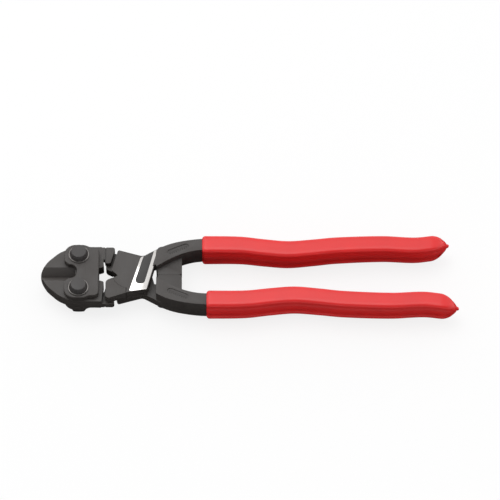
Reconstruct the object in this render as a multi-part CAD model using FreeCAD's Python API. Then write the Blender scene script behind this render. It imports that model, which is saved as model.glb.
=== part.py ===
"""Compact lever-action bolt cutters, 200 mm long, lying flat with the handles closed.

Working axes while modelling: X runs from the jaw tips to the grip ends, Y = 0 is the line where the
cutting edges meet, and Z = 0 is the middle of the tool's thickness. The lower half of the tool is the
upper half turned half a turn about X. The last step moves everything so that the origin is at the
bottom centre of the whole tool.
"""
import FreeCAD, Part
import math
import os
from FreeCAD import Vector

os.makedirs("parts", exist_ok=True)

# ---------------------------------------------------------------- driving dimensions, in millimetres
overall_length = 200.0        # jaw tips to the end of the lower grip
grip_stagger = 4.1            # how much sooner the upper grip ends
running_gap = 0.05            # between flat faces that slide, and between a pin and its hole

# jaws
jaw_thickness = 5.7
jaw_half_height = 15.5        # outer edge of the jaw above the cutting line
jaw_nose_height = 1.5
jaw_rear = 29.6               # mean position of the jaw's rear edge
jaw_rear_lean = 0.08          # how much that edge leans back towards the centreline, per mm
jaw_rear_level = 10.8         # height at which it stands at that position
edge_gap = 0.05               # each cutting edge stops this far from the centreline
edge_land = 0.4               # thickness of the cutting edge itself
edge_bevel = 3.8              # height of the ground bevel
edge_length = 17.0            # cutting edge, from the tip
edge_runout = 0.5             # the bevel stops this far before the edge's end
throat_height = 4.2           # inner edge of the jaw's rear end above the centreline
tooth_foot = 6.2              # inner end of that tooth above the centreline
tooth_length = 6.0            # half-thickness tooth behind the jaw that carries the link pin

# side plates and jaw bolts
bolt_x = 18.1
bolt_y = 9.3
bolt_radius = 3.0
plate_thickness = 2.8
plate_front = 11.2
plate_rear = 27.7
lobe_half_height = 15.0       # the plate round the bolts
plate_half_height = 13.8      # the plate at its rear edge
notch_depth = 6.0             # the rounded mouth in the plate's front edge
notch_half_width = 3.8
washer_thickness = 0.6
washer_radius = 4.95
head_height = 2.7
head_radius = 4.5
head_flat_radius = 3.5
nut_across_flats = 9.0
nut_thread_inset = 0.4        # the bolt's end stops short of the nut's outer face

# handle joint
joint_thickness = 8.9
link_x = 32.6                 # link pin between jaw and handle
link_y = 10.8
link_radius = 1.3
link_cap = 1.1                # metal left over the end of the link pin's hole
pivot_x = 43.0                # pivot between the two handles
pivot_radius = 3.0
pivot_play = 0.2              # extra room for the pivot pin in the lower handle
pivot_cap = 1.2
hub_radius = 9.0
parting = 0.12                # gap between one handle's hub and the other handle's claw
claw_gap = 1.2                # between the jaw's rear edge and the handle's claw

# arms
arm_thickness = 10.6
arm_width = 6.4
shoulder_x = 55.2
crotch_sweep = 12.9           # radius about the pivot that the other handle's plate needs when it opens
crotch_rear = 67.4
crotch_thickness = 4.6
pocket_length = 11.0
pocket_width = 3.2
pocket_depth = 0.35

# grips
grip_front = 77.0             # front lip of the upper grip
grip_front_stagger = 2.2      # how much later the lower grip begins
grip_width = 9.4
grip_height = 12.6
grip_end_width = 8.6
grip_end_height = 11.2
grip_corner = 2.0
tang_width = 5.8
tang_height = 9.2
tang_end_width = 5.0
tang_end_height = 7.6
tang_stop = 13.0              # the steel ends this far before the grip's tip
grip_close = 9.0              # length over which the grip's end rounds off


# ---------------------------------------------------------------- small helpers
def outline(points, z=0.0):
    """Closed face from corners (x, y, corner radius)."""
    edges = []
    starts = []
    ends = []
    mids = []
    count = len(points)
    for i, (x, y, radius) in enumerate(points):
        corner = Vector(x, y, z)
        before = Vector(points[i - 1][0], points[i - 1][1], z) - corner
        after = Vector(points[(i + 1) % count][0], points[(i + 1) % count][1], z) - corner
        half = before.getAngle(after) / 2
        if radius == 0:
            starts.append(corner)
            ends.append(corner)
            mids.append(None)
            continue
        before.normalize()
        after.normalize()
        reach = radius / math.tan(half)
        inward = (before + after).normalize()
        centre = corner + inward * (radius / math.sin(half))
        starts.append(corner + before * reach)
        ends.append(corner + after * reach)
        mids.append(centre - inward * radius)
    for i in range(count):
        if mids[i] is not None:
            edges.append(Part.Arc(starts[i], mids[i], ends[i]).toShape())
        nxt = starts[(i + 1) % count]
        if (nxt - ends[i]).Length > 1e-6:
            edges.append(Part.LineSegment(ends[i], nxt).toShape())
    return Part.Face(Part.Wire(edges))


def prism(points, low, high):
    """Outline stretched from z = low to z = high."""
    return outline(points, low).extrude(Vector(0, 0, high - low))


def disc(x, y, radius, low, high):
    return Part.makeCylinder(radius, high - low, Vector(x, y, low))


def turned(shape):
    """The same shape on the other half of the tool: half a turn about X."""
    copy = shape.copy()
    copy.rotate(Vector(0, 0, 0), Vector(1, 0, 0), 180)
    return copy


def ease(shape, radius, choose):
    """Round the edges that the test picks."""
    edges = [edge for edge in shape.Edges if choose(edge)]
    return shape.makeFillet(radius, edges)


# ---------------------------------------------------------------- levels worked out from the sizes above
jaw_top = jaw_thickness / 2
plate_low = jaw_top + running_gap
plate_top = plate_low + plate_thickness
washer_top = plate_top + washer_thickness
head_top = washer_top + head_height
joint_top = joint_thickness / 2
arm_top = arm_thickness / 2
half_gap = running_gap / 2
link = (link_x, link_y)


# ---------------------------------------------------------------- jaws
def rear_edge_x(y):
    """The jaw's rear edge leans back a little towards the centreline."""
    return jaw_rear + jaw_rear_lean * (jaw_rear_level - y)


def upper_jaw():
    blank = prism([
        (0, edge_gap, 0),
        (0, jaw_nose_height, 5.0),
        (3.2, jaw_half_height - 8.6, 12.0),
        (8.4, jaw_half_height - 3.6, 12.0),
        (14.6, jaw_half_height - 0.4, 8.0),
        (rear_edge_x(jaw_half_height), jaw_half_height, 0.8),
        (rear_edge_x(throat_height), throat_height, 0.8),
        (edge_length, edge_gap, 0),
    ], -jaw_top, jaw_top)
    tooth_end = jaw_rear + tooth_length
    tooth = prism([
        (jaw_rear - 4, jaw_half_height - 0.3, 0),
        (tooth_end, jaw_half_height - 0.3, 1.2),
        (tooth_end - 2.4, tooth_foot, 1.0),
        (jaw_rear + 1.2, tooth_foot, 0.8),
        (jaw_rear + 0.7, tooth_foot + 2.2, 0),
        (jaw_rear - 4, tooth_foot + 2.2, 0),
    ], half_gap, jaw_top)
    relief = prism([
        (rear_edge_x(0) + 0.6, -1, 0),
        (rear_edge_x(0) + 0.6, jaw_half_height + 1, 0),
        (rear_edge_x(0) + 0.1, jaw_half_height + 1, 0),
        (rear_edge_x(0) + 0.1, -1, 0),
    ], jaw_top - 0.5, jaw_top)
    body = blank.fuse(tooth).removeSplitter()
    body = body.cut(relief)
    for side in (1, -1):
        ground = Part.makePolygon([
            Vector(-1, edge_gap, side * edge_land / 2),
            Vector(-1, edge_bevel, side * jaw_top),
            Vector(-1, edge_bevel, side * (jaw_top + 1)),
            Vector(-1, edge_gap - 1, side * (jaw_top + 1)),
            Vector(-1, edge_gap - 1, side * edge_land / 2),
            Vector(-1, edge_gap, side * edge_land / 2),
        ])
        wedge = Part.Face(ground).extrude(Vector(edge_length + 1 - edge_runout, 0, 0))
        body = body.cut(wedge)
    body = body.cut(disc(bolt_x, bolt_y, bolt_radius + running_gap, -jaw_top - 1, jaw_top + 1))
    body = body.cut(disc(*link, link_radius, -1, jaw_top - link_cap))
    return body


# ---------------------------------------------------------------- side plates, bolts, washers, nuts
def front_plate():
    notch_end = plate_front + notch_depth
    notch_mouth = notch_half_width + 2.2
    plate = prism([
        (plate_front, notch_mouth, 1.2),
        (plate_front, lobe_half_height, 5.2),
        (bolt_x + 2.6, lobe_half_height, 5.0),
        (bolt_x + 5.2, plate_half_height, 3.0),
        (plate_rear, plate_half_height, 2.4),
        (plate_rear, -plate_half_height, 2.4),
        (bolt_x + 5.2, -plate_half_height, 3.0),
        (bolt_x + 2.6, -lobe_half_height, 5.0),
        (plate_front, -lobe_half_height, 5.2),
        (plate_front, -notch_mouth, 1.2),
        (plate_front + 0.35 * notch_depth, -notch_half_width, 1.2),
        (notch_end, -notch_half_width, notch_half_width - 0.6),
        (notch_end, notch_half_width, notch_half_width - 0.6),
        (plate_front + 0.35 * notch_depth, notch_half_width, 1.2),
    ], plate_low, plate_top)
    plate = ease(plate, 0.45, lambda edge: edge.BoundBox.ZMin > plate_top - 0.01)
    for side in (1, -1):
        plate = plate.cut(disc(bolt_x, side * bolt_y, bolt_radius, 0, plate_top + 1))
    return plate


def washer():
    ring = disc(bolt_x, bolt_y, washer_radius, plate_top, washer_top)
    ring = ring.makeChamfer(0.2, [e for e in ring.Edges if e.BoundBox.ZMin > washer_top - 0.01])
    return ring.cut(disc(bolt_x, bolt_y, bolt_radius, plate_top - 1, washer_top + 1))


def jaw_bolt():
    """Conical head with a flat top on a plain shank that ends inside the nut."""
    head = Part.makeCone(head_radius, head_flat_radius, head_height, Vector(bolt_x, bolt_y, washer_top))
    shank = disc(bolt_x, bolt_y, bolt_radius, -head_top + nut_thread_inset, washer_top)
    return head.fuse(shank).removeSplitter()


def jaw_nut():
    """Hexagon nut on the far side, chamfered on its outer face."""
    circle = nut_across_flats / 2 / math.cos(math.pi / 6)
    corners = [Vector(bolt_x + circle * math.cos(i * math.pi / 3),
                      bolt_y + circle * math.sin(i * math.pi / 3), -head_top) for i in range(7)]
    nut = Part.Face(Part.makePolygon(corners)).extrude(Vector(0, 0, head_height))
    crown = Part.makeCone(nut_across_flats / 2, nut_across_flats / 2 + 2 * head_height, head_height,
                          Vector(bolt_x, bolt_y, -head_top))
    nut = nut.common(crown)
    return nut.cut(disc(bolt_x, bolt_y, bolt_radius, -head_top - 1, -head_top + head_height + 1))


# ---------------------------------------------------------------- handles
claw_rear = pivot_x - 2.1                 # where a claw's parting line meets the outline
plate_edge_top = (56.8, 13.9)             # the joint plate's straight rear edge
plate_edge_foot = (50.8, -9.8)
step_lap = 0.7                            # the thick arm starts this far forward of that edge


def plate_edge_x(y):
    """The joint plate's rear edge at height y."""
    share = (y - plate_edge_foot[1]) / (plate_edge_top[1] - plate_edge_foot[1])
    return plate_edge_foot[0] + share * (plate_edge_top[0] - plate_edge_foot[0])


def joint_plate(low, high):
    """The half-thickness plate of the upper handle that carries the pivot pin."""
    plate = prism([
        (36.8, 12.7, 0.8),
        (33.8, 1.3, 0.9),
        (36.9, -1.7, 0.3),
        (pivot_x - 8.2, -2.95, 0),
        (pivot_x - 1.87, -8.80, 0),
        (claw_rear, -11.35, 0.2),
        (49.1, -9.5, 2.0),
        (*plate_edge_foot, 0.5),
        (*plate_edge_top, 0),
        (48.7, 9.1, 3.0),
    ], low, high)
    sector = prism([
        (pivot_x, 0, 0),
        (pivot_x - 12.3, -4.43, 0),
        (pivot_x - 12.3, -13, 0),
        (pivot_x - 2.76, -13, 0),
    ], low, high)
    hub = disc(pivot_x, 0, hub_radius, low, high).common(sector)
    return plate.fuse(hub).removeSplitter()


def claw(low, high):
    """The upper handle's half-thickness claw, on the far side, that takes the link pin."""
    front = jaw_rear + claw_gap + 0.2
    body = prism([
        (front, 4.6, 2.4),
        (36.9, 1.7, 0),
        (claw_rear - parting, 1.7, 0),
        (claw_rear - parting, 11.45, 0.2),
        (front, 15.0, 1.6),
    ], low, high)
    return body.cut(disc(pivot_x, 0, hub_radius + parting, low - 1, high + 1))


def arm_edge(points, level):
    curve = Part.BSplineCurve()
    curve.interpolate([Vector(x, y, level) for x, y in points])
    return curve.toShape()


def arm(front):
    """The full-thickness arm between the joint and the grip, whose lip is at x = front."""
    end = front + 3.0
    outer = [(shoulder_x, 12.3), (63.8, 16.3), (69.5, 17.6), (75.3, 18.4), (end, 18.7)]
    inner = [(shoulder_x, 3.0), (61.6, 7.1), (66.4, 9.6), (71.2, 11.3), (end, 18.7 - arm_width)]
    edges = [
        arm_edge(outer, -arm_top),
        Part.LineSegment(Vector(*outer[-1], -arm_top), Vector(*inner[-1], -arm_top)).toShape(),
        arm_edge(inner, -arm_top),
        Part.LineSegment(Vector(*inner[0], -arm_top), Vector(*outer[0], -arm_top)).toShape(),
    ]
    body = Part.Face(Part.Wire(Part.__sortEdges__(edges))).extrude(Vector(0, 0, arm_thickness))
    shoulder = prism([
        (plate_edge_x(13.2) - step_lap, 13.2, 0.4),
        (plate_edge_x(3.6) - step_lap, 3.6, 0.6),
        (58.0, 4.6, 0),
        (60.0, 14.5, 0),
        (plate_edge_top[0] + 0.1, plate_edge_top[1] - 0.05, 0),
    ], half_gap, arm_top)
    crotch = prism([
        (pivot_x, edge_gap, 0),
        (crotch_rear, edge_gap, 1.4),
        (crotch_rear, 11.0, 0),
        (pivot_x + crotch_sweep + 0.6, 5.4, 0),
        (pivot_x + crotch_sweep - 1.0, 4.4, 0),
    ], -crotch_thickness / 2, crotch_thickness / 2)
    crotch = crotch.cut(disc(pivot_x, 0, crotch_sweep, -crotch_thickness, crotch_thickness))
    return body, shoulder, crotch


def pocket(side):
    """Shallow rounded recess in the arm's broad face; it is left plain."""
    half = pocket_length / 2
    recess = prism([
        (-half, -pocket_width / 2, pocket_width / 2 - 0.01),
        (half, -pocket_width / 2, pocket_width / 2 - 0.01),
        (half, pocket_width / 2, pocket_width / 2 - 0.01),
        (-half, pocket_width / 2, pocket_width / 2 - 0.01),
    ], arm_top - pocket_depth, arm_top + 1)
    recess.rotate(Vector(0, 0, 0), Vector(0, 0, 1), 24)
    recess.translate(Vector(65.6, 12.6, 0))
    if side < 0:
        recess = recess.mirror(Vector(0, 0, 0), Vector(0, 0, 1))
    return recess


# ---------------------------------------------------------------- grips and the tangs inside them
grip_path = [(0, 15.5), (18.4, 15.3), (30, 13.9), (41.4, 12.9), (53, 13.9), (64.4, 15.2), (87, 16.1),
             (102, 15.4), (110, 16.3), (118.9, 17.9)]


def path_curve(front, length):
    """Centreline of a grip, stretched to the wanted length."""
    stretch = length / grip_path[-1][0]
    curve = Part.BSplineCurve()
    curve.interpolate([Vector(front + x * stretch, y, 0) for x, y in grip_path])
    return curve


def section(x, y, width, height, corner):
    """Rounded rectangle across the grip at x."""
    w = width / 2
    h = height / 2
    r = min(corner, w * 0.8, h * 0.8)
    k = r * (1 - math.sqrt(0.5))

    def at(a, b):
        return Vector(x, y + a, b)
    edges = [
        Part.LineSegment(at(-w + r, -h), at(w - r, -h)).toShape(),
        Part.Arc(at(w - r, -h), at(w - k, -h + k), at(w, -h + r)).toShape(),
        Part.LineSegment(at(w, -h + r), at(w, h - r)).toShape(),
        Part.Arc(at(w, h - r), at(w - k, h - k), at(w - r, h)).toShape(),
        Part.LineSegment(at(w - r, h), at(-w + r, h)).toShape(),
        Part.Arc(at(-w + r, h), at(-w + k, h - k), at(-w, h - r)).toShape(),
        Part.LineSegment(at(-w, h - r), at(-w, -h + r)).toShape(),
        Part.Arc(at(-w, -h + r), at(-w + k, -h + k), at(-w + r, -h)).toShape(),
    ]
    return Part.Wire(edges)


def centre_at(curve, x):
    """Height of the grip's centreline at x."""
    line = Part.LineSegment(Vector(x, -100, 0), Vector(x, 100, 0))
    hits = curve.intersect(line)
    return hits[0].Y


def lofted(curve, stations, front, length, start_size, end_size, corner):
    wires = []
    for x, scale in stations:
        share = min(max((x - front) / length, 0), 1)
        width = start_size[0] + (end_size[0] - start_size[0]) * share
        height = start_size[1] + (end_size[1] - start_size[1]) * share
        wires.append(section(x, centre_at(curve, x), width * scale, height * scale, corner))
    return Part.makeLoft(wires, True, False)


def grip_and_tang(front, length):
    """The outer form of a dipped grip, and the steel tang that runs inside it."""
    curve = path_curve(front, length)
    end = front + length
    close = end - grip_close
    stations = [(front + 0.02, 0.95), (front + 0.7, 0.985), (front + 2.0, 1.0)]
    stations += [(front + 2 + i * (close - front - 2) / 8, 1.0) for i in range(1, 9)]
    stations += [(close + grip_close * s, 1 - s * s) for s in (0.3, 0.5, 0.7, 0.85, 0.96)]
    outer = lofted(curve, stations, front, length, (grip_width, grip_height),
                   (grip_end_width, grip_end_height), grip_corner)
    tang_end = end - tang_stop
    inside = [(front + 1.0 + i * (tang_end - front - 1.0) / 8, 1.0) for i in range(9)]
    tang = lofted(curve, inside, front, length, (tang_width, tang_height),
                  (tang_end_width, tang_end_height), 1.2)
    return outer, tang


def handle(front, length):
    """One steel handle with its grip, both as for the upper side."""
    outer, tang = grip_and_tang(front, length)
    body, shoulder, crotch = arm(front)
    plate = joint_plate(half_gap, joint_top)
    web = joint_plate(-half_gap, half_gap).common(claw(-half_gap, half_gap))
    steel = plate.fuse([web, claw(-joint_top, -half_gap), body, shoulder, crotch, tang])
    steel = steel.removeSplitter()
    steel = steel.cut(disc(*link, link_radius + running_gap, -joint_top + link_cap, 1))
    for side in (1, -1):
        steel = steel.cut(pocket(side))
    grip = outer.cut(steel)
    return steel, grip


# ---------------------------------------------------------------- pins
def link_pin():
    """Joins the upper jaw's tooth to the upper handle's claw; closed over at both ends."""
    return disc(*link, link_radius, -joint_top + link_cap + running_gap, jaw_top - link_cap)


def pivot_pin():
    """Sits tight in the upper handle's plate and turns in the lower one."""
    reach = joint_top - pivot_cap
    return disc(pivot_x, 0, pivot_radius, -reach + running_gap, reach)


def pivot_hole(radius, side):
    reach = joint_top - pivot_cap
    low, high = (0, reach) if side > 0 else (-reach, 0)
    return disc(pivot_x, 0, radius, low, high)


# ---------------------------------------------------------------- assembly
def main():
    upper_length = overall_length - grip_stagger - grip_front
    lower_front = grip_front + grip_front_stagger
    upper_handle, upper_grip = handle(grip_front, upper_length)
    lower_handle, lower_grip = handle(lower_front, overall_length - lower_front)
    upper_handle = upper_handle.cut(pivot_hole(pivot_radius, 1))
    lower_handle = turned(lower_handle).cut(pivot_hole(pivot_radius + pivot_play, -1))
    upper = upper_jaw()
    bolt = jaw_bolt()
    nut = jaw_nut()
    ring = washer()
    plate = front_plate()
    pin = link_pin()
    across = Vector(0, -2 * bolt_y, 0)
    under = turned(ring)

    def moved(shape, step):
        copy = shape.copy()
        copy.translate(step)
        return copy
    nodes = {
        "upper_jaw": upper,
        "lower_jaw": turned(upper),
        "front_plate": plate,
        "back_plate": turned(plate),
        "upper_jaw_bolt": bolt,
        "lower_jaw_bolt": moved(bolt, across),
        "upper_jaw_nut": nut,
        "lower_jaw_nut": moved(nut, across),
        "upper_head_washer": ring,
        "lower_head_washer": moved(ring, across),
        "upper_nut_washer": moved(under, across * -1),
        "lower_nut_washer": under,
        "upper_handle": upper_handle,
        "lower_handle": lower_handle,
        "handle_pivot_pin": pivot_pin(),
        "upper_link_pin": pin,
        "lower_link_pin": turned(pin),
        "upper_grip": upper_grip,
        "lower_grip": turned(lower_grip),
    }
    to_row = Vector(-overall_length / 2, 0, head_top)
    for name, shape in nodes.items():
        shape.translate(to_row)
        solids = shape.Solids
        print(name, "solids", len(solids), "valid", shape.isValid(), "volume", round(shape.Volume, 1))
        solid = solids[0] if len(solids) == 1 else shape
        solid.exportStep(f"parts/{name}.step")
    print("origin shift", to_row)


main()
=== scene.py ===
"""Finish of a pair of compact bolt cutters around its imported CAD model.

The steel keeps its CAD shape and gets rounded edges and a phosphated finish. The dipped grips, the
polished bands on the joint plates, and the small repeated details are modelled here.
"""
import math

import bmesh
import bpy
from mathutils import Matrix, Vector


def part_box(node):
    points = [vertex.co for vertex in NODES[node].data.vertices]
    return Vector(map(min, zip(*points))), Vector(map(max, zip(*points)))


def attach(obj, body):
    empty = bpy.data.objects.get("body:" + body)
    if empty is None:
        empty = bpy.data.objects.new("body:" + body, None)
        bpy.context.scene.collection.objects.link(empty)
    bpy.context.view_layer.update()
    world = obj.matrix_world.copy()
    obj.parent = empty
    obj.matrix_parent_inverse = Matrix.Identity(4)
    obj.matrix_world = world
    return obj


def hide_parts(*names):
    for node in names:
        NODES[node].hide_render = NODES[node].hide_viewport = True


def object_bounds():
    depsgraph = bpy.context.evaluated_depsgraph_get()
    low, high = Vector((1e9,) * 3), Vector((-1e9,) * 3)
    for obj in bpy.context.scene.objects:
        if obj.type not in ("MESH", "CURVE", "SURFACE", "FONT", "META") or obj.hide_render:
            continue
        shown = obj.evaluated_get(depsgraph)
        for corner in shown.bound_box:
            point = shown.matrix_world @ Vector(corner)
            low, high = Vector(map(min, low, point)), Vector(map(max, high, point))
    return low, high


bl_info = {
    "name": "Compact Bolt Cutters",
    "version": (1, 0, 0),
    "blender": (4, 5, 0),
    "location": "View3D > Sidebar > Bolt Cutters",
    "description": "Finishes the steel, grips and small details of a pair of bolt cutters",
    "category": "Object",
}

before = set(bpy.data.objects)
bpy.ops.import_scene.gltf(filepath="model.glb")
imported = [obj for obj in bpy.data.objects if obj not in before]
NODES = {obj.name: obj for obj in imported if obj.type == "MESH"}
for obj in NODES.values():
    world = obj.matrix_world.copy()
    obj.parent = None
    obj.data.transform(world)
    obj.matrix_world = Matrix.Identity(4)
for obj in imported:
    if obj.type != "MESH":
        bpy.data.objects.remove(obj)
CAD_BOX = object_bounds()
MM = 0.001

STEEL_NODES = {
    "upper_jaw": "upper_jaw",
    "lower_jaw": "lower_jaw",
    "front_plate": "head",
    "back_plate": "head",
    "upper_jaw_bolt": "head",
    "lower_jaw_bolt": "head",
    "upper_jaw_nut": "head",
    "lower_jaw_nut": "head",
    "upper_handle": "upper_handle",
    "lower_handle": "lower_handle",
}
JAW_TIP_X = -100.0           # row x of the jaw tips; outlines below are in mm from there
JOINT_HALF = 4.45            # half the joint plates' thickness
BAND_OUTLINE = ((42.2, -10.7, 0.7), (50.6, -9.45, 0.4), (56.0, 12.1, 0.2), (55.9, 13.2, 0.2),
                (48.7, 9.0, 2.0), (47.6, 8.4, 1.6))
INSET_OUTLINE = ((44.6, -6.4, 2.0), (49.5, -6.4, 2.0), (54.0, 12.1, 0.1), (49.0, 9.0, 0.1))
POCKET_CENTRE = (-34.4, 12.6)
POCKET_DEPTH = 0.35
POCKET_TURN = math.radians(24)
RIB_LENGTH = 1.9
RIB_WIDTH = 0.42
RIB_LEAN = math.radians(-18)

# grips, in mm: centreline (distance from the lip, distance from the tool's centreline) and sections
GRIP_PATH = ((0, 15.5), (18.4, 15.3), (30, 13.9), (41.4, 12.9), (53, 13.9), (64.4, 15.2), (87, 16.1),
             (102, 15.4), (110, 16.3), (118.9, 17.9))
GRIP_FRONT = (9.4, 12.6)
GRIP_END = (8.6, 11.2)
GRIP_CORNER = 1.6
GRIP_CLOSE = 7.9             # length over which the end rounds off
TIP_CORNER_GAIN = 2.2        # how much rounder the section gets towards the tip
TIP_FULLNESS = 0.58          # below 0.5 is blunter than an ellipse, above is more pointed
TIP_BLUNT = 0.97             # share of the rounding made before the nub starts
NUB_LENGTH = 1.1
GROOVE_DEPTH = 0.8
GROOVE_HEIGHT = 0.52         # groove's middle, as a share of the half thickness
GROOVE_SPREAD = 0.22
LIP_INNER = (6.0, 9.6)       # the rolled lip's inner edge, hidden inside the arm
LIP_INNER_CORNER = 0.8

WASHERS = ("upper_head_washer", "lower_head_washer", "upper_nut_washer", "lower_nut_washer")
PINS = ("handle_pivot_pin", "upper_link_pin", "lower_link_pin")


# ------------------------------------------------------------------ settings a user would change
class BoltCutterSizes(bpy.types.PropertyGroup):
    edge_round: bpy.props.FloatProperty(
        name="Edge Rounding", description="Radius on the forged steel's edges",
        default=0.35 * MM, unit="LENGTH")
    plate_round: bpy.props.FloatProperty(
        name="Plate Edge Rounding", description="Radius on the side plates', bolts' and nuts' edges",
        default=0.18 * MM, unit="LENGTH")
    lip_roll: bpy.props.FloatProperty(
        name="Grip Lip Roll", description="How far the dipped plastic rolls over at its front lip",
        default=1.5 * MM, unit="LENGTH")
    band_relief: bpy.props.FloatProperty(
        name="Band Relief", description="How far the polished band stands proud of the joint plate",
        default=0.05 * MM, unit="LENGTH")
    rib_count: bpy.props.IntProperty(
        name="Pocket Ribs", description="Raised ribs in each arm's pocket", default=9, min=1)
    rib_pitch: bpy.props.FloatProperty(
        name="Rib Pitch", description="Distance between the pocket's ribs",
        default=1.05 * MM, unit="LENGTH")


class BoltCutterColours(bpy.types.PropertyGroup):
    steel: bpy.props.StringProperty(
        name="Steel", description="Black phosphated steel, as sRGB hex", default="#322D2A")
    oxide: bpy.props.StringProperty(
        name="Bolts", description="Black oxide of the bolts and nuts, as sRGB hex", default="#2C2827")
    polish: bpy.props.StringProperty(
        name="Band", description="Polished steel, as sRGB hex", default="#D6D3D0")
    washer: bpy.props.StringProperty(
        name="Washers", description="Satin washer steel, as sRGB hex", default="#6B6866")
    pin: bpy.props.StringProperty(
        name="Pins", description="Ground pin steel, as sRGB hex", default="#B9B8B6")
    inset: bpy.props.StringProperty(
        name="Inset", description="Matt black inset of the band, as sRGB hex", default="#211F1E")
    plastic: bpy.props.StringProperty(
        name="Grips", description="Dip-moulded plastic, as sRGB hex", default="#E01B1B")
    floor: bpy.props.StringProperty(
        name="Floor", description="Studio floor, as sRGB hex", default="#F4F4F4")
    bounce: bpy.props.StringProperty(
        name="Floor Bounce", description="Light that the floor throws back up, as sRGB hex",
        default="#A6A6A6")
    reflected: bpy.props.StringProperty(
        name="Floor Reflection", description="Floor as glossy steel reflects it, as sRGB hex",
        default="#4A4A4A")


# ------------------------------------------------------------------ material helpers
def linear(hex_value):
    """sRGB hex to linear RGBA."""
    channels = [int(hex_value[i:i + 2], 16) / 255 for i in (1, 3, 5)]
    return [c / 12.92 if c <= 0.04045 else ((c + 0.055) / 1.055) ** 2.4 for c in channels] + [1.0]


def add(tree, kind, inputs=None, **settings):
    """One node with its settings; an input is a value, or a socket to link from."""
    node = tree.nodes.new(kind)
    for name, value in settings.items():
        setattr(node, name, value)
    for key, value in (inputs or {}).items():
        if isinstance(value, bpy.types.NodeSocket):
            tree.links.new(value, node.inputs[key])
        else:
            node.inputs[key].default_value = value
    return node


def new_material(name):
    """An empty material with a Principled shader joined to its output."""
    material = bpy.data.materials.new(name)
    material.use_nodes = True
    tree = material.node_tree
    tree.nodes.clear()
    shader = add(tree, "ShaderNodeBsdfPrincipled")
    output = add(tree, "ShaderNodeOutputMaterial")
    tree.links.new(shader.outputs[0], output.inputs[0])
    return material, tree, shader


def speckle(tree, coords, grain, detail=3.0, rough=0.6):
    """Noise whose grains are about one grain size across."""
    return add(tree, "ShaderNodeTexNoise",
               {"Vector": coords, "Scale": 1 / grain, "Detail": detail, "Roughness": rough})


def spread(tree, value, low, high):
    """The middle of a noise's range, stretched to run from low to high."""
    return add(tree, "ShaderNodeMapRange",
               {"Value": value, "From Min": 0.3, "From Max": 0.7, "To Min": low, "To Max": high})


def tint(tree, factor, dark, light):
    """A blend from the dark colour to the light one."""
    mix = add(tree, "ShaderNodeMix", data_type="RGBA")
    tree.links.new(factor, mix.inputs["Factor"])
    mix.inputs["A"].default_value = dark
    mix.inputs["B"].default_value = light
    return mix.outputs["Result"]


def scaled(colour, amount):
    """The same linear colour, darker or lighter."""
    return [c * amount for c in colour[:3]] + [1.0]


def phosphated_steel(name, hex_value, brushed=False):
    """Forged tool steel, manganese phosphated and oiled: near-black, a fine even grain, a soft sheen."""
    grain = 0.22 * MM          # real crystals are finer; drawn as coarse as they need to show
    cloud = 9.0 * MM           # uneven oil and handling
    material, tree, shader = new_material(name)
    coords = add(tree, "ShaderNodeTexCoord").outputs["Object"]
    fine = speckle(tree, coords, grain)
    broad = speckle(tree, coords, cloud, 2.0)
    colour = linear(hex_value)
    mixed = add(tree, "ShaderNodeMath", {0: fine.outputs["Fac"], 1: 0.6}, operation="MULTIPLY")
    both = add(tree, "ShaderNodeMath", {0: broad.outputs["Fac"], 1: 0.4, 2: mixed.outputs[0]},
               operation="MULTIPLY_ADD")
    shade = spread(tree, both.outputs[0], 0.0, 1.0)
    tree.links.new(tint(tree, shade.outputs[0], scaled(colour, 0.72), scaled(colour, 1.3)),
                   shader.inputs["Base Color"])
    rough = spread(tree, broad.outputs["Fac"], 0.5, 0.6)
    tree.links.new(rough.outputs[0], shader.inputs["Roughness"])
    shader.inputs["Metallic"].default_value = 0.0
    shader.inputs["IOR"].default_value = 1.6
    height = fine.outputs["Fac"]
    if brushed:
        lines = add(tree, "ShaderNodeMapping", {"Vector": coords, "Scale": (1.0, 0.03, 1.0)})
        streaks = speckle(tree, lines.outputs[0], 0.5 * MM, 2.0)
        height = add(tree, "ShaderNodeMath", {0: streaks.outputs["Fac"], 1: 2.5, 2: height},
                     operation="MULTIPLY_ADD").outputs[0]
    bump = add(tree, "ShaderNodeBump", {"Height": height, "Strength": 0.25, "Distance": 0.05 * MM})
    tree.links.new(bump.outputs[0], shader.inputs["Normal"])
    return material


def ground_steel(name, hex_value, roughness, grain):
    """Bare steel, ground or polished: bright, with very fine straight scratches."""
    material, tree, shader = new_material(name)
    coords = add(tree, "ShaderNodeTexCoord").outputs["Object"]
    lines = add(tree, "ShaderNodeMapping", {"Vector": coords, "Scale": (1.0, 0.06, 1.0)})
    scratch = speckle(tree, lines.outputs[0], grain, 2.0)
    colour = linear(hex_value)
    shade = spread(tree, scratch.outputs["Fac"], 0.0, 1.0)
    tree.links.new(tint(tree, shade.outputs[0], scaled(colour, 0.94), colour),
                   shader.inputs["Base Color"])
    shader.inputs["Metallic"].default_value = 1.0
    gloss = spread(tree, scratch.outputs["Fac"], roughness * 0.85, roughness * 1.15)
    tree.links.new(gloss.outputs[0], shader.inputs["Roughness"])
    bump = add(tree, "ShaderNodeBump",
               {"Height": scratch.outputs["Fac"], "Strength": 0.08, "Distance": 0.01 * MM})
    tree.links.new(bump.outputs[0], shader.inputs["Normal"])
    return material


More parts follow.
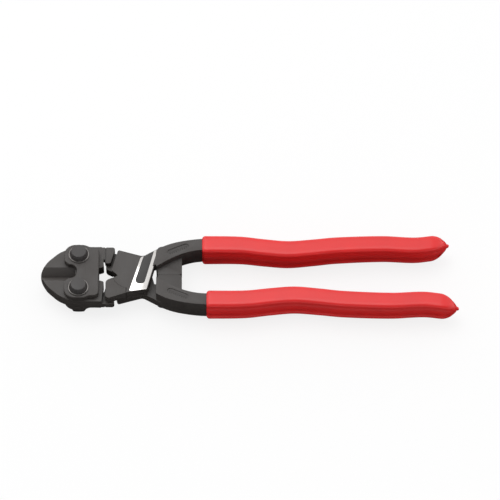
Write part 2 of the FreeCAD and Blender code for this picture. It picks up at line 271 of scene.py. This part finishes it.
def dipped_plastic(name, hex_value):
    """Dip-moulded soft PVC: one deep colour, a satin gloss and a faint cast ripple."""
    ripple = 14.0 * MM
    pore = 0.35 * MM
    material, tree, shader = new_material(name)
    coords = add(tree, "ShaderNodeTexCoord").outputs["Object"]
    broad = speckle(tree, coords, ripple, 1.0)
    fine = speckle(tree, coords, pore, 2.0)
    colour = linear(hex_value)
    shade = spread(tree, broad.outputs["Fac"], 0.0, 1.0)
    tree.links.new(tint(tree, shade.outputs[0], scaled(colour, 0.93), colour),
                   shader.inputs["Base Color"])
    gloss = spread(tree, fine.outputs["Fac"], 0.3, 0.38)
    tree.links.new(gloss.outputs[0], shader.inputs["Roughness"])
    shader.inputs["IOR"].default_value = 1.53
    shader.inputs["Subsurface Weight"].default_value = 0.05
    shader.inputs["Subsurface Radius"].default_value = (1.2 * MM, 0.2 * MM, 0.2 * MM)
    shader.inputs["Subsurface Scale"].default_value = 1.0
    height = add(tree, "ShaderNodeMath", {0: broad.outputs["Fac"], 1: 6.0, 2: fine.outputs["Fac"]},
                 operation="MULTIPLY_ADD")
    bump = add(tree, "ShaderNodeBump",
               {"Height": height.outputs[0], "Strength": 0.15, "Distance": 0.03 * MM})
    tree.links.new(bump.outputs[0], shader.inputs["Normal"])
    return material


# ------------------------------------------------------------------ mesh helpers
def link(name, mesh, material, body):
    """A mesh put in the scene as one finished piece on a body."""
    obj = bpy.data.objects.new(name, mesh)
    bpy.context.scene.collection.objects.link(obj)
    mesh.materials.clear()
    mesh.materials.append(material)
    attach(obj, body)
    return obj


def finished(obj):
    """The object's modifiers applied, as a plain mesh in its place."""
    graph = bpy.context.evaluated_depsgraph_get()
    mesh = bpy.data.meshes.new_from_object(obj.evaluated_get(graph))
    obj.modifiers.clear()
    old = obj.data
    obj.data = mesh
    bpy.data.meshes.remove(old)


def smooth(mesh, angle=math.radians(35)):
    """Smooth shading, kept sharp where faces meet at more than the angle."""
    mesh.polygons.foreach_set("use_smooth", [True] * len(mesh.polygons))
    mesh.set_sharp_from_angle(angle=angle)
    mesh.update()


def rounded_steel(node, body, material, width):
    """The CAD node's own shape with its sharp edges rounded, in place of the node."""
    mesh = NODES[node].data.copy()
    shell = bmesh.new()
    shell.from_mesh(mesh)
    bmesh.ops.remove_doubles(shell, verts=shell.verts, dist=0.002 * MM)
    bmesh.ops.dissolve_limit(shell, angle_limit=math.radians(0.8), verts=shell.verts, edges=shell.edges)
    shell.to_mesh(mesh)
    shell.free()
    mesh.polygons.foreach_set("use_smooth", [True] * len(mesh.polygons))
    obj = bpy.data.objects.new(node + "_finished", mesh)
    bpy.context.scene.collection.objects.link(obj)
    bevel = obj.modifiers.new("Rounding", "BEVEL")
    bevel.width = width
    bevel.segments = 3
    bevel.limit_method = "ANGLE"
    bevel.angle_limit = math.radians(28)
    bevel.use_clamp_overlap = True
    bevel.harden_normals = True
    bevel.miter_outer = "MITER_ARC"
    finished(obj)
    obj.data.materials.clear()
    obj.data.materials.append(material)
    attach(obj, body)
    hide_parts(node)
    return obj


def hermite(points, x):
    """Smooth curve through (x, y) points, evaluated at x."""
    last = len(points) - 1
    i = max(k for k in range(last) if points[k][0] <= max(x, points[0][0]))

    def slope(k):
        a = points[max(k - 1, 0)]
        b = points[min(k + 1, last)]
        return (b[1] - a[1]) / (b[0] - a[0])
    (x0, y0), (x1, y1) = points[i], points[i + 1]
    h = x1 - x0
    t = (x - x0) / h
    return ((1 + 2 * t) * (1 - t) ** 2 * y0 + t * (1 - t) ** 2 * h * slope(i)
            + t * t * (3 - 2 * t) * y1 + t * t * (t - 1) * h * slope(i + 1))


def grip_section(width, height, corner, groove):
    """Points round a grip: flat top and bottom, and a shallow groove each side of a middle ridge."""
    w = width / 2
    h = height / 2
    r = min(corner, w * 0.9, h * 0.9)
    corner_steps, side_steps, top_steps = 6, 28, 4
    quarter = [k * math.pi / 2 / corner_steps for k in range(corner_steps + 1)]
    right = [(w - r + r * math.sin(t), -(h - r) - r * math.cos(t)) for t in quarter]
    for k in range(1, side_steps):
        z = -(h - r) + 2 * (h - r) * k / side_steps
        share = abs(z) / h
        dip = math.exp(-((share - GROOVE_HEIGHT) / GROOVE_SPREAD) ** 2)
        right.append((w - groove * dip, z))
    right += [(x, -z) for x, z in reversed(right[:corner_steps + 1])]
    top = [((w - r) * (1 - 2 * k / top_steps), h) for k in range(1, top_steps)]
    left = [(-x, -z) for x, z in right]
    bottom = [(-x, -z) for x, z in top]
    return right + top + left + bottom


def tube_through(rings):
    """Closed skin over rings of equal point count, capped at both ends."""
    shell = bmesh.new()
    rows = [[shell.verts.new(p) for p in ring] for ring in rings]
    count = len(rows[0])
    for a, b in zip(rows, rows[1:]):
        for i in range(count):
            j = (i + 1) % count
            shell.faces.new((a[i], a[j], b[j], b[i]))
    shell.faces.new(rows[0][::-1])
    shell.faces.new(rows[-1])
    bmesh.ops.recalc_face_normals(shell, faces=shell.faces)
    return shell


def slab(points, low, high, bevel=0.0):
    """Flat plate from an outline, its upper rim bevelled."""
    shell = bmesh.new()
    bottom = [shell.verts.new((x, y, low)) for x, y in points]
    top = [shell.verts.new((x, y, high)) for x, y in points]
    count = len(points)
    for i in range(count):
        j = (i + 1) % count
        shell.faces.new((bottom[i], bottom[j], top[j], top[i]))
    shell.faces.new(bottom[::-1])
    lid = shell.faces.new(top)
    bmesh.ops.recalc_face_normals(shell, faces=shell.faces)
    if bevel:
        rim = list(lid.edges)
        bmesh.ops.bevel(shell, geom=rim, offset=bevel, segments=2, profile=0.5, affect="EDGES")
    mesh = bpy.data.meshes.new("slab")
    shell.to_mesh(mesh)
    shell.free()
    return mesh


def rounded_polygon(corners, steps=6):
    """Outline from corners (x, y, radius), in millimetres, as points in metres."""
    points = []
    count = len(corners)
    for i, (x, y, radius) in enumerate(corners):
        corner = Vector((x, y))
        before = (Vector(corners[i - 1][:2]) - corner).normalized()
        after = (Vector(corners[(i + 1) % count][:2]) - corner).normalized()
        half = before.angle(after) / 2
        if radius == 0:
            points.append(corner)
            continue
        inward = (before + after).normalized()
        centre = corner + inward * (radius / math.sin(half))
        start = corner + before * (radius / math.tan(half)) - centre
        end = corner + after * (radius / math.tan(half)) - centre
        sweep = start.angle_signed(end)
        for k in range(steps + 1):
            angle = math.atan2(start.y, start.x) - sweep * k / steps
            points.append(centre + Vector((math.cos(angle), math.sin(angle))) * radius)
    return [(p.x * MM, p.y * MM) for p in points]


def flipped(mesh, mid_z):
    """Half a turn about the tool's long axis at mid height."""
    up = Matrix.Translation((0, 0, mid_z))
    mesh.transform(up @ Matrix.Rotation(math.pi, 4, "X") @ up.inverted())
    mesh.update()


# ------------------------------------------------------------------ operators
class BOLTCUTTERS_OT_stage(bpy.types.Operator):
    """Pale floor, soft overhead light and a long-lens camera"""
    bl_idname = "boltcutters.stage"
    bl_label = "Stage"

    def execute(self, context):
        colours = context.scene.bolt_cutter_colours
        scene = context.scene
        low, high = CAD_BOX
        # Matt paper. Seen directly it is a nearly evenly lit white sweep; the light it throws back
        # at the tool is weaker, and its reflection in the steel weaker still.
        material, tree, shader = new_material("matt_paper_floor")
        shader.inputs["Base Color"].default_value = linear(colours.bounce)
        shader.inputs["Roughness"].default_value = 0.9
        shader.inputs["Specular IOR Level"].default_value = 0.0
        lit = add(tree, "ShaderNodeBsdfDiffuse", {"Color": linear(colours.floor)}).outputs[0]
        glow = add(tree, "ShaderNodeEmission", {"Color": (1, 1, 1, 1), "Strength": 1.0}).outputs[0]
        pale = add(tree, "ShaderNodeMixShader", {0: 0.82, 1: lit, 2: glow}).outputs[0]
        path = add(tree, "ShaderNodeLightPath").outputs
        dull = add(tree, "ShaderNodeBsdfDiffuse", {"Color": linear(colours.reflected)}).outputs[0]
        bounced = add(tree, "ShaderNodeMixShader",
                      {0: path["Is Glossy Ray"], 1: shader.outputs[0], 2: dull}).outputs[0]
        both = add(tree, "ShaderNodeMixShader",
                   {0: path["Is Camera Ray"], 1: bounced, 2: pale}).outputs[0]
        surface = next(node for node in tree.nodes if node.type == "OUTPUT_MATERIAL")
        tree.links.new(both, surface.inputs[0])
        half_side = 3.0
        floor = bpy.data.meshes.new("floor")
        floor.from_pydata([(-half_side, -half_side, 0), (half_side, -half_side, 0),
                           (half_side, half_side, 0), (-half_side, half_side, 0)], [], [(0, 1, 2, 3)])
        sheet = bpy.data.objects.new("floor", floor)
        floor.materials.append(material)
        scene.collection.objects.link(sheet)
        sheet.location.z = low.z - 0.1 * MM

        # Bright overhead and behind the tool, dim on the near side, with a low strip all round that
        # puts a line of light along the grips' grooves.
        world = bpy.data.worlds.new("softbox")
        world.use_nodes = True
        sky = world.node_tree
        sky.nodes.clear()
        coords = add(sky, "ShaderNodeTexCoord").outputs["Generated"]
        axes = add(sky, "ShaderNodeSeparateXYZ", {0: coords}).outputs
        behind = add(sky, "ShaderNodeMapRange",
                     {"Value": axes["Y"], "From Min": -0.35, "From Max": 0.1, "To Min": 0.35,
                      "To Max": 1.05}).outputs[0]
        low_strip = add(sky, "ShaderNodeMapRange",
                        {"Value": axes["Z"], "From Min": 0.35, "From Max": 0.2, "To Min": 0.0,
                         "To Max": 0.95}).outputs[0]
        total = add(sky, "ShaderNodeMath", {0: behind, 1: low_strip}, operation="ADD").outputs[0]
        glow = add(sky, "ShaderNodeBackground", {"Color": (1, 1, 1, 1), "Strength": total})
        out = add(sky, "ShaderNodeOutputWorld")
        sky.links.new(glow.outputs[0], out.inputs[0])
        scene.world = world

        lamp = bpy.data.lights.new("overhead_softbox", "AREA")
        lamp.shape = "DISK"
        lamp.size = 0.9
        lamp.energy = 5.0
        light = bpy.data.objects.new("overhead_softbox", lamp)
        light.location = (-0.25, 0.35, 1.2)
        light.rotation_euler = (-light.location).to_track_quat("-Z", "Y").to_euler()
        scene.collection.objects.link(light)

        elevation = math.radians(57)
        distance = 2.50          # far back, so the handles show almost no perspective
        aim = Vector((0, 15.6 * MM, (low.z + high.z) / 2))
        camera_data = bpy.data.cameras.new("camera")
        camera_data.lens = 374.8
        camera_data.sensor_width = 36
        camera_data.clip_start = 0.01
        camera = bpy.data.objects.new("camera", camera_data)
        camera.location = aim + Vector((0, -math.cos(elevation), math.sin(elevation))) * distance
        camera.rotation_euler = (math.pi / 2 - elevation, 0, 0)
        scene.collection.objects.link(camera)
        scene.camera = camera
        scene.view_settings.view_transform = "Standard"
        scene.view_settings.look = "None"
        return {"FINISHED"}


class BOLTCUTTERS_OT_steel(bpy.types.Operator):
    """Jaws, plates, bolts, nuts and handles: rounded edges and black finishes"""
    bl_idname = "boltcutters.steel"
    bl_label = "Steel Parts"

    def execute(self, context):
        sizes = context.scene.bolt_cutter_sizes
        colours = context.scene.bolt_cutter_colours
        forged = phosphated_steel("black_phosphated_forging", colours.steel)
        plate = phosphated_steel("black_phosphated_plate", colours.steel, brushed=True)
        oxide = phosphated_steel("black_oxide_bolt", colours.oxide)
        for node, body in STEEL_NODES.items():
            if "plate" in node:
                material, width = plate, sizes.plate_round
            elif "bolt" in node or "nut" in node:
                material, width = oxide, sizes.plate_round
            else:
                material, width = forged, sizes.edge_round
            rounded_steel(node, body, material, width)
        washer = ground_steel("satin_washer_steel", colours.washer, 0.32, 0.3 * MM)
        pin = ground_steel("ground_pin_steel", colours.pin, 0.25, 0.2 * MM)
        for nodes, material in ((WASHERS, washer), (PINS, pin)):
            for node in nodes:
                NODES[node].data.materials.clear()
                NODES[node].data.materials.append(material)
        return {"FINISHED"}


def grip_rings(front, end, middle, side, lip):
    """Rings of a dipped grip from its rolled front lip to its pointed tip."""
    length = end - front
    stretch = length / (GRIP_PATH[-1][0] * MM)
    path = [(x * MM * stretch, y * MM) for x, y in GRIP_PATH]
    corner = GRIP_CORNER * MM
    groove = GROOVE_DEPTH * MM
    close = GRIP_CLOSE * MM
    nub = NUB_LENGTH * MM
    steel = [side_length * MM for side_length in LIP_INNER]
    steel_corner = LIP_INNER_CORNER * MM

    def ring(s, width, height, radius, dip=groove):
        y = hermite(path, min(max(s, 0), length))
        return [(front + s, side * (y + a), middle + b)
                for a, b in grip_section(width, height, radius, dip)]

    def size_at(s):
        share = s / length
        return [(p + (q - p) * share) * MM for p, q in zip(GRIP_FRONT, GRIP_END)]

    # inner edge of the lip, then the lip rolled over a quarter turn
    rings = [ring(depth * MM, *steel, steel_corner, 0) for depth in (1.6, 0.5)]
    lip_steps = 6
    for k in range(lip_steps + 1):
        turn = math.pi / 2 * k / lip_steps
        w, h = size_at(0)
        inset = lip * (1 - math.sin(turn))
        rings.append(ring(lip * (1 - math.cos(turn)), w - 2 * inset * 0.8, h - 2 * inset * 0.8, corner))

    # the long middle
    body_steps = 74
    last = length - close - nub
    for k in range(1, body_steps + 1):
        s = lip + (last - lip) * k / body_steps
        rings.append(ring(s, *size_at(s), corner))

    # the rounded end
    tip_steps = 22
    for k in range(1, tip_steps + 1):
        t = TIP_BLUNT * math.sin(math.pi / 2 * k / tip_steps)
        s = last + close * t / TIP_BLUNT
        scale = (1 - t * t) ** TIP_FULLNESS
        w, h = size_at(s)
        rings.append(ring(s, w * scale, h * scale, corner + TIP_CORNER_GAIN * MM * (1 - scale),
                          groove * scale))

    # the moulded nub
    w, h = size_at(length)
    neck = (1 - TIP_BLUNT * TIP_BLUNT) ** TIP_FULLNESS
    for t in (0.3, 0.6, 0.8, 0.93, 1.0):
        scale = neck * math.sqrt(1 - t * t * 0.96)
        rings.append(ring(length - nub + nub * t, w * scale, h * scale, corner, 0))
    return rings


class BOLTCUTTERS_OT_grips(bpy.types.Operator):
    """The two dip-moulded plastic grips"""
    bl_idname = "boltcutters.grips"
    bl_label = "Grips"

    def execute(self, context):
        sizes = context.scene.bolt_cutter_sizes
        red = dipped_plastic("dip_moulded_pvc", context.scene.bolt_cutter_colours.plastic)
        for node, body, side in (("upper_grip", "upper_handle", 1), ("lower_grip", "lower_handle", -1)):
            low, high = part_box(node)
            rings = grip_rings(low.x, high.x, (low.z + high.z) / 2, side, sizes.lip_roll)
            shell = tube_through(rings)
            mesh = bpy.data.meshes.new(node)
            shell.to_mesh(mesh)
            shell.free()
            smooth(mesh, math.radians(60))
            grip = link("dipped_" + node, mesh, red, body)
            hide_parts(node)
        return {"FINISHED"}


class BOLTCUTTERS_OT_bands(bpy.types.Operator):
    """Polished bands across the joint plates, each with a plain black inset"""
    bl_idname = "boltcutters.bands"
    bl_label = "Polished Bands"

    def execute(self, context):
        sizes = context.scene.bolt_cutter_sizes
        colours = context.scene.bolt_cutter_colours
        polish = ground_steel("polished_steel_band", colours.polish, 0.16, 0.12 * MM)
        inset = phosphated_steel("matt_black_inset", colours.inset)
        low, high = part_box("upper_handle")
        middle = (low.z + high.z) / 2
        joint_top = middle + JOINT_HALF * MM
        band, recess = (rounded_polygon([(x + JAW_TIP_X, y, r) for x, y, r in outline])
                        for outline in (BAND_OUTLINE, INSET_OUTLINE))
        for body, back in (("upper_handle", False), ("lower_handle", True)):
            for name, outline, material, extra in (("polished_band", band, polish, 1.0),
                                                   ("black_inset", recess, inset, 1.8)):
                rise = sizes.band_relief * extra
                mesh = slab(outline, joint_top - 0.1 * MM, joint_top + rise, rise * 0.5)
                if back:
                    flipped(mesh, middle)
                smooth(mesh)
                link(name + ("_back" if back else "_front"), mesh, material, body)
        return {"FINISHED"}


def row_tree(name):
    """Geometry nodes: one small shape repeated along a straight row."""
    tree = bpy.data.node_groups.new(name, "GeometryNodeTree")
    for label, kind in (("Count", "NodeSocketInt"), ("Pitch", "NodeSocketFloat"),
                        ("Length", "NodeSocketFloat"), ("Width", "NodeSocketFloat"),
                        ("Height", "NodeSocketFloat"), ("Lean", "NodeSocketFloat"),
                        ("Finish", "NodeSocketMaterial")):
        tree.interface.new_socket(label, in_out="INPUT", socket_type=kind)
    tree.interface.new_socket("Geometry", in_out="OUTPUT", socket_type="NodeSocketGeometry")
    entry = add(tree, "NodeGroupInput").outputs
    less = add(tree, "ShaderNodeMath", {0: entry["Count"], 1: 1.0}, operation="SUBTRACT").outputs[0]
    reach = add(tree, "ShaderNodeMath", {0: less, 1: entry["Pitch"]}, operation="MULTIPLY").outputs[0]
    start = add(tree, "ShaderNodeMath", {0: reach, 1: -0.5}, operation="MULTIPLY").outputs[0]
    origin = add(tree, "ShaderNodeCombineXYZ", {"X": start}).outputs[0]
    step = add(tree, "ShaderNodeCombineXYZ", {"X": entry["Pitch"]}).outputs[0]
    row = add(tree, "GeometryNodeMeshLine",
              {"Count": entry["Count"], "Start Location": origin, "Offset": step}).outputs[0]
    bar = add(tree, "GeometryNodeMeshUVSphere", {"Segments": 16, "Rings": 8, "Radius": 0.5}).outputs[0]
    size = add(tree, "ShaderNodeCombineXYZ",
               {"X": entry["Width"], "Y": entry["Length"], "Z": entry["Height"]}).outputs[0]
    turn = add(tree, "ShaderNodeCombineXYZ", {"Z": entry["Lean"]}).outputs[0]
    shaped = add(tree, "GeometryNodeTransform", {"Geometry": bar, "Scale": size}).outputs[0]
    leaning = add(tree, "GeometryNodeTransform", {"Geometry": shaped, "Rotation": turn}).outputs[0]
    placed = add(tree, "GeometryNodeInstanceOnPoints", {"Points": row, "Instance": leaning}).outputs[0]
    real = add(tree, "GeometryNodeRealizeInstances", {0: placed}).outputs[0]
    soft = add(tree, "GeometryNodeSetShadeSmooth", {0: real}).outputs[0]
    done = add(tree, "GeometryNodeSetMaterial",
               {"Geometry": soft, "Material": entry["Finish"]}).outputs[0]
    out = add(tree, "NodeGroupOutput")
    tree.links.new(done, out.inputs[0])
    return tree


def row_mesh(tree, **values):
    """The row's mesh, lying along X at the origin."""
    obj = bpy.data.objects.new("row", bpy.data.meshes.new("row"))
    bpy.context.scene.collection.objects.link(obj)
    modifier = obj.modifiers.new("Row", "NODES")
    modifier.node_group = tree
    for item in tree.interface.items_tree:
        if item.in_out == "INPUT":
            modifier[item.identifier] = values[item.name]
    graph = bpy.context.evaluated_depsgraph_get()
    mesh = bpy.data.meshes.new_from_object(obj.evaluated_get(graph))
    bpy.data.objects.remove(obj)
    return mesh


class BOLTCUTTERS_OT_details(bpy.types.Operator):
    """Rows of small raised ribs in the arms' pockets"""
    bl_idname = "boltcutters.details"
    bl_label = "Small Details"

    def execute(self, context):
        sizes = context.scene.bolt_cutter_sizes
        tree = row_tree("row_of_ribs")
        forged = bpy.data.materials["black_phosphated_forging"]
        low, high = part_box("upper_handle")
        middle = (low.z + high.z) / 2
        floor = high.z - POCKET_DEPTH * MM
        place = Matrix.Translation((POCKET_CENTRE[0] * MM, POCKET_CENTRE[1] * MM, floor))
        place = place @ Matrix.Rotation(POCKET_TURN, 4, "Z")
        for body, side in (("upper_handle", 1), ("lower_handle", -1)):
            for face in (1, -1):
                mesh = row_mesh(tree, Count=sizes.rib_count, Pitch=sizes.rib_pitch,
                                Length=RIB_LENGTH * MM, Width=RIB_WIDTH * MM, Height=RIB_WIDTH * MM,
                                Lean=RIB_LEAN, Finish=forged)
                mesh.transform(place)
                if face < 0:
                    upside_down = Matrix.Scale(-1, 4, (0, 0, 1))
                    mesh.transform(Matrix.Translation((0, 0, 2 * middle)) @ upside_down)
                    mesh.flip_normals()
                if side < 0:
                    flipped(mesh, middle)
                mesh.update()
                where = "front" if face * side > 0 else "back"
                link(f"{body}_ribs_{where}", mesh, forged, body)
        return {"FINISHED"}


OPERATORS = (BOLTCUTTERS_OT_stage, BOLTCUTTERS_OT_steel, BOLTCUTTERS_OT_grips, BOLTCUTTERS_OT_bands,
             BOLTCUTTERS_OT_details)


class BOLTCUTTERS_PT_panel(bpy.types.Panel):
    """Lists the steps that finish the bolt cutters"""
    bl_label = "Bolt Cutters"
    bl_idname = "BOLTCUTTERS_PT_panel"
    bl_space_type = "VIEW_3D"
    bl_region_type = "UI"
    bl_category = "Bolt Cutters"

    def draw(self, context):
        column = self.layout.column()
        for group in (context.scene.bolt_cutter_sizes, context.scene.bolt_cutter_colours):
            for name in group.__annotations__:
                column.prop(group, name)
        for operator in OPERATORS:
            column.operator(operator.bl_idname)


CLASSES = (BoltCutterSizes, BoltCutterColours, *OPERATORS, BOLTCUTTERS_PT_panel)


def register():
    for cls in CLASSES:
        bpy.utils.register_class(cls)
    bpy.types.Scene.bolt_cutter_sizes = bpy.props.PointerProperty(type=BoltCutterSizes)
    bpy.types.Scene.bolt_cutter_colours = bpy.props.PointerProperty(type=BoltCutterColours)


def unregister():
    del bpy.types.Scene.bolt_cutter_colours
    del bpy.types.Scene.bolt_cutter_sizes
    for cls in reversed(CLASSES):
        bpy.utils.unregister_class(cls)


def main():
    register()
    bpy.ops.boltcutters.stage()
    bpy.ops.boltcutters.steel()
    bpy.ops.boltcutters.grips()
    bpy.ops.boltcutters.bands()
    bpy.ops.boltcutters.details()


if __name__ == "__main__":
    main()
